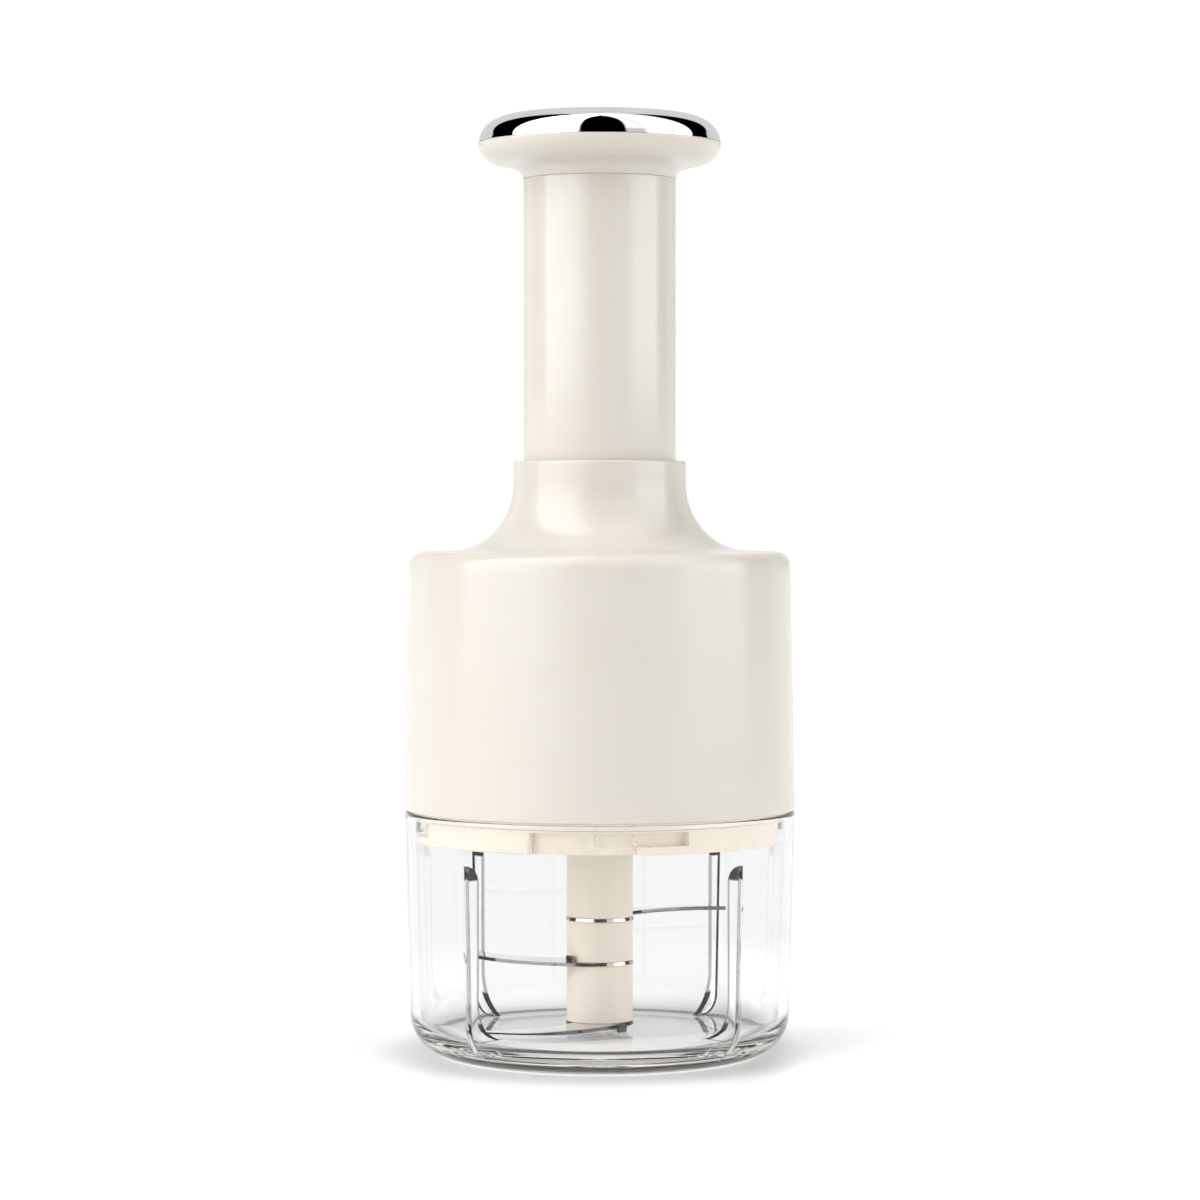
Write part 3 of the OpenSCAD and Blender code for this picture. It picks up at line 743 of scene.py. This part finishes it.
def build_bowl():
    outer = bowl_profile()
    marks = set()
    for k in range(240):
        marks.add(round(k * 1.5, 3))
    rib_at = [front(RIB_AT + 90 * k) for k in range(4)]
    lug_at = [front(4.5) + 90 * k for k in range(4)]
    for c in rib_at:
        half = RIB_T / 2
        near = [half * math.sin(math.radians(q)) for q in range(0, 90, 9)] + [half * 0.9985, half * 1.0015]
        near += [half + ROOT * (1 - math.cos(math.radians(q))) for q in (22, 38, 52, 66, 78, 90)] + [half + ROOT + 0.25]
        for s in near:
            for sign in (-1, 1):
                marks.add(round((c + sign * math.degrees(s / 42.0)) % 360, 4))
    for c in lug_at:
        for s in (-6.3, -6.2, -6.12, -5.95, -5.75, -5.5, 5.5, 5.75, 5.95, 6.12, 6.2, 6.3):
            marks.add(round((c + s) % 360, 3))
    angles = sorted(marks)
    keep = [angles[0]]
    for a in angles[1:]:
        if a - keep[-1] > 0.0015:
            keep.append(a)
    angles = keep
    rows = list(arc(RT - WALL_T + 0.5, 58.5, 0.5, 0.5, 90, 180, 4))
    for z in [57.6, 57.05, 56.9, 56.82, 56.7, 56.5, 56.2, 55.5, 54.8, 54.45, 54.25, 54.13, 54.05, 53.9, 53.2, 52.0, 50.5,
              49.4, 48.7, 48.45, 48.39, 48.36, 48.3, 48.2, 48.05, 47.85, 47.6, 47.3, 46.9, 46.4, 45.8, 45.2, 44.6, 44.0, 43.0, 41.0, 38.0, 34.0, 30.0,
              26.5, 23.5, 21.5, 19.5, 18.0, 17.0, 16.3, 15.5, 14.7, 13.9, 13.1, 12.4, 11.8, 11.2, 10.7]:
        rows.append((wall_r(z), z))
    fc = RB - WALL_T - FILLET
    rows += arc(fc, FLOOR + FILLET, FILLET, FILLET, 0, -90, 36)
    rows += [(32.0, FLOOR), (26.0, FLOOR), (18.0, FLOOR), (10.0, FLOOR), (5.2, FLOOR), (4.5, FLOOR + 0.06), (4.2, FLOOR + 0.25),
             (4.1, FLOOR + 0.7), (3.9, FLOOR + 0.8), (2.75, FLOOR + 0.82), (2.55, FLOOR + 0.95), (2.5, FLOOR + 1.2),
             (2.5, FLOOR + 3.3), (2.35, FLOOR + 3.65), (2.0, FLOOR + 3.8), (0, FLOOR + 3.8)]
    bm = bmesh.new()
    cols = len(angles)

    def inside(r, z, a):
        if 53.95 <= z <= 57.0:
            for c in lug_at:
                d = (a - c + 180) % 360 - 180
                ex = abs(d) * math.pi / 180 * 44.0
                hw, hz, rc = 6.2 * math.pi / 180 * 44.0, 1.38, 0.7
                dx, dz = max(0.0, ex - (hw - rc)), max(0.0, abs(z - 55.475) - (hz - rc))
                q = rc - math.hypot(dx, dz)
                if q > 0:
                    return min(r, r - min(1.0, q / 0.14) * (r - 42.6))
        if r > 36.0 and z < RIB_TOP:
            for c in rib_at:
                d = (a - c + 180) % 360 - 180
                s = d * math.pi / 180 * 42.0
                if abs(s) < RIB_T / 2 + ROOT:
                    return r - fin(s, r - ridge_r(z))
        return r

    grid = []
    for r, z in outer:
        if r < 1e-6:
            grid.append([bm.verts.new((0, 0, z * MM))])
        else:
            grid.append([bm.verts.new((r * MM * math.cos(math.radians(a)), r * MM * math.sin(math.radians(a)), z * MM)) for a in angles])
    for r, z in rows:
        if r < 1e-6:
            grid.append([bm.verts.new((0, 0, z * MM))])
            continue
        ring = []
        for a in angles:
            rr = inside(r, z, a)
            ring.append(bm.verts.new((rr * MM * math.cos(math.radians(a)), rr * MM * math.sin(math.radians(a)), z * MM)))
        grid.append(ring)
    for i in range(len(grid) - 1):
        a, b = grid[i], grid[i + 1]
        for k in range(cols):
            k2 = (k + 1) % cols
            if len(a) == 1:
                bm.faces.new((a[0], b[k], b[k2]))
            elif len(b) == 1:
                bm.faces.new((a[k2], a[k], b[0]))
            else:
                bm.faces.new((a[k], b[k], b[k2], a[k2]))
    bmesh.ops.remove_doubles(bm, verts=bm.verts, dist=1e-7)
    # lug edges, ribs and base get the clear materials with painted dark refraction
    for f in bm.faces:
        z = f.calc_center_median().z / MM
        mid = f.calc_center_median()
        at = math.degrees(math.atan2(mid.y, mid.x))
        off = min(abs((at - c + 180) % 360 - 180) for c in rib_at) * math.pi / 180 * 42.0
        over = max(wall_inner(v.co.z / MM) - math.hypot(v.co.x, v.co.y) / MM for v in f.verts)
        least = min(wall_inner(v.co.z / MM) - math.hypot(v.co.x, v.co.y) / MM for v in f.verts)
        if 53.9 < z < 57.1 and over > 1.0 and least < 0.3:
            f.material_index = 3
        elif 5.2 < z < RIB_TOP + 0.01 and over > 0.02 and off < RIB_T / 2 + 0.02:
            f.material_index = 1
        elif z < FLOOR + FILLET:
            f.material_index = 2
    o = to_object("bowl_clear", bm, CLEAR, sharp=60)
    o.data.materials.append(CLEAR_RIB)
    o.data.materials.append(CLEAR_BASE)
    o.data.materials.append(CLEAR_LUG_PAINTED_DARK)
    return o


bowl = build_bowl()
place(bowl, "bowl_body", "clear_bowl", "bowl")

# ------------------------------------------------------------------ column

CR = 8.05
BZ = (32.4, 21.8, 6.9)
BT = 0.9


def spacer(name, z0, z1, node, flange=False):
    prof = [(6.24, z0, 0.1), (CR, z0, 0.16)]
    if flange:
        prof += [(CR, 62.05), (11.0, 62.05, 0.15), (11.0, 63.7, 0.15), (6.24, 63.7, 0.1)]
    else:
        prof += [(CR, z1, 0.16), (6.24, z1, 0.1)]
    o = revolve(name, rounded(prof, 4), COLUMN, seg=128, sharp=40)
    return place(o, "rotor", "cream_column", node)


top_spacer = spacer("spacer_top", BZ[0] + BT + 0.02, 63.7, "column_top", flange=True)
boolean(top_spacer, union_all([block_bm(7.5, 10.6, 63.5, 65.0, 60 * k, 60 * k + 29, 8) for k in range(6)]), "UNION")
resharp(top_spacer, 40)
spacer("spacer_mid", BZ[1] + BT + 0.02, BZ[0] - 0.02, "column_mid")
spacer("spacer_low", BZ[2] + BT + 0.02, BZ[1] - 0.02, "column_low")

# ------------------------------------------------------------------ blades


def blade_object(name, z, direction, tab_at, tab_up, node, tip=37.5):
    """Swept crescent with a ground leading edge, on a thin hub ring."""
    hub = CR + 0.25
    # leading (outer) and trailing (inner) curves of the arm, in the blade's own plan
    n = 40
    lead_c, lead_r = Vector((0.0, CR - 36.8)), 37.0
    trail_c, trail_r = Vector((7.5, -28.6)), 25.2

    # leading curve from the hub out to the tip circle
    lead = []
    a0 = math.degrees(math.atan2(hub * 0.995 - lead_c.y, 0.6))
    a_end = None
    for k in range(2000):
        a = a0 - k * 0.05
        p = lead_c + lead_r * Vector((math.cos(math.radians(a)), math.sin(math.radians(a))))
        if p.length >= tip:
            a_end = a
            break
    for k in range(n + 1):
        a = a0 + (a_end - a0) * k / n
        lead.append(lead_c + lead_r * Vector((math.cos(math.radians(a)), math.sin(math.radians(a)))))
    trail = []
    t0 = None
    for k in range(4000):
        a = 130 - k * 0.05
        p = trail_c + trail_r * Vector((math.cos(math.radians(a)), math.sin(math.radians(a))))
        if p.x > 4.6 and t0 is None:
            t0 = a
        if p.length >= tip and p.x > 20:
            t1 = a
            break
    for k in range(n + 1):
        a = t0 + (t1 - t0) * k / n
        trail.append(trail_c + trail_r * Vector((math.cos(math.radians(a)), math.sin(math.radians(a)))))
    bm = bmesh.new()
    rows = []
    for k in range(n + 1):
        L, T = lead[k], trail[k]
        w = L - T
        ln = w.length
        u = w / ln
        g = min(2.2, ln * 0.4)          # width of the ground face
        b = L - u * g
        c = L - u * min(0.30, ln * 0.15)
        zt, zb = z + BT, z
        rows.append([bm.verts.new((q.x * MM, q.y * MM, zz * MM)) for q, zz in (
            (T, zb + 0.06), (T + u * 0.06, zb), (b, zb), (L, zb), (L, zb + 0.02), (c, zt - 0.10), (b, zt),
            (T + u * 0.25, zt), (T, zt - 0.55))])
    m = len(rows[0])
    for k in range(n):
        for j in range(m):
            j2 = (j + 1) % m
            bm.faces.new((rows[k][j], rows[k][j2], rows[k + 1][j2], rows[k + 1][j]))
    bm.faces.new(list(reversed(rows[0])))
    bm.faces.new(rows[-1])
    bmesh.ops.recalc_face_normals(bm, faces=bm.faces)
    arm = to_object(name, bm, BLADE, sharp=25)
    hubm = revolve_bm(rounded([(6.24, z), (hub, z, 0.04), (hub, z + 0.1), (hub - 0.24, z + BT, 0.06), (6.24, z + BT)], 3), seg=128)
    hubo = to_object("hub", hubm, BLADE)
    core = to_object("cut", revolve_bm([(0, z - 2), (6.24, z - 2), (6.24, z + 3), (0, z + 3)], seg=128), BLADE)
    boolean(arm, core)
    boolean(arm, hubo, "UNION")
    tab = bmesh.new()
    bmesh.ops.create_cube(tab, size=1.0)
    h = abs(tab_up) + BT - 0.2
    zc = (z + 0.1 + h / 2) if tab_up > 0 else (z + tab_up + h / 2)
    bmesh.ops.scale(tab, verts=tab.verts, vec=(0.7 * MM, 2.6 * MM, h * MM))
    bmesh.ops.bevel(tab, geom=tab.edges, offset=0.12 * MM, segments=2, affect="EDGES")
    bmesh.ops.translate(tab, verts=tab.verts, vec=(9.05 * MM, 0, zc * MM))
    bmesh.ops.rotate(tab, verts=tab.verts, cent=(0, 0, 0), matrix=Matrix.Rotation(math.radians(tab_at), 3, "Z"))
    boolean(arm, to_object("tab", tab, BLADE), "UNION")
    me = arm.data
    me.transform(Matrix.Rotation(math.radians(direction), 4, "Z"))
    resharp(arm, 12)
    me = arm.data
    me.materials.clear()
    me.materials.append(BLADE)
    # upright faces away from the hub get the painted dark edge steel, standing for a dark reflection
    low = z < 10
    me.materials.append(EDGE_LOW if low else EDGE)
    for f in me.polygons:
        far = math.hypot(f.center.x, f.center.y) > (7.0 if low else hub + 0.4) * MM
        f.material_index = 1 if far and abs(f.normal.z) < 0.75 else 0
    return place(arm, "rotor", "blade_steel", node)


blade_object("blade_upper", BZ[0], 65, 38, 1.6, "blade_top")
blade_object("blade_middle", BZ[1], 180, 38, 1.6, "blade_mid")
blade_object("blade_lower", BZ[2], 242, 64, -1.2, "blade_low", tip=35.0)

# ------------------------------------------------------------------ return spring

SPRING_Z0, SPRING_Z1, SPRING_R, WIRE_R, TURNS, STROKE = 77.75, 199.9, 11.6, 0.72, 14, 54.0


def coil(name, per_turn=40, sides=12):
    """Compression spring whose end turns are drawn close, as a swept wire with rounded ends."""
    span = SPRING_Z1 - SPRING_Z0 - 2 * WIRE_R

    def rise(t):
        if t < 1.2:
            return t * 1.8
        if t > TURNS - 1.2:
            return span - (TURNS - t) * 1.8
        return 1.2 * 1.8 + (t - 1.2) * (span - 2 * 1.2 * 1.8) / (TURNS - 2.4)

    bm = bmesh.new()
    rings = []
    n = TURNS * per_turn
    for i in range(n + 1):
        t = i / per_turn
        a = 2 * math.pi * t
        z = SPRING_Z0 + WIRE_R + rise(t)
        w = WIRE_R * (0.72 if i in (0, n) else 1.0)
        ring = []
        for j in range(sides):
            b = 2 * math.pi * j / sides
            r = SPRING_R + w * math.cos(b)
            ring.append(bm.verts.new((r * MM * math.cos(a), r * MM * math.sin(a), (z + w * math.sin(b)) * MM)))
        rings.append(ring)
    for i in range(n):
        for j in range(sides):
            j2 = (j + 1) % sides
            bm.faces.new((rings[i][j], rings[i][j2], rings[i + 1][j2], rings[i + 1][j]))
    bm.faces.new(list(reversed(rings[0])))
    bm.faces.new(rings[-1])
    return to_object(name, bm, STEEL, sharp=50)


spring = coil("coil_return_spring")
place(spring, "head", "plain_steel", "return_spring")
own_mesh(spring)

# ------------------------------------------------------------------ carried-over nodes

FINISH = {
    WHITE: ["neck_bush", "guide_sleeve", "nut_cage", "spring_sleeve", "stop_ring", "screw_holder", "drive_nut", "core_tube", "pivot_bush"],
    STEEL: ["thrust_washer", "lid_screws", "cage_screws", "drive_screw", "holder_screws", "screw_pin"],
}
for mat, names in FINISH.items():
    for name in names:
        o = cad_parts[name]
        for s in o.material_slots:
            s.material = mat
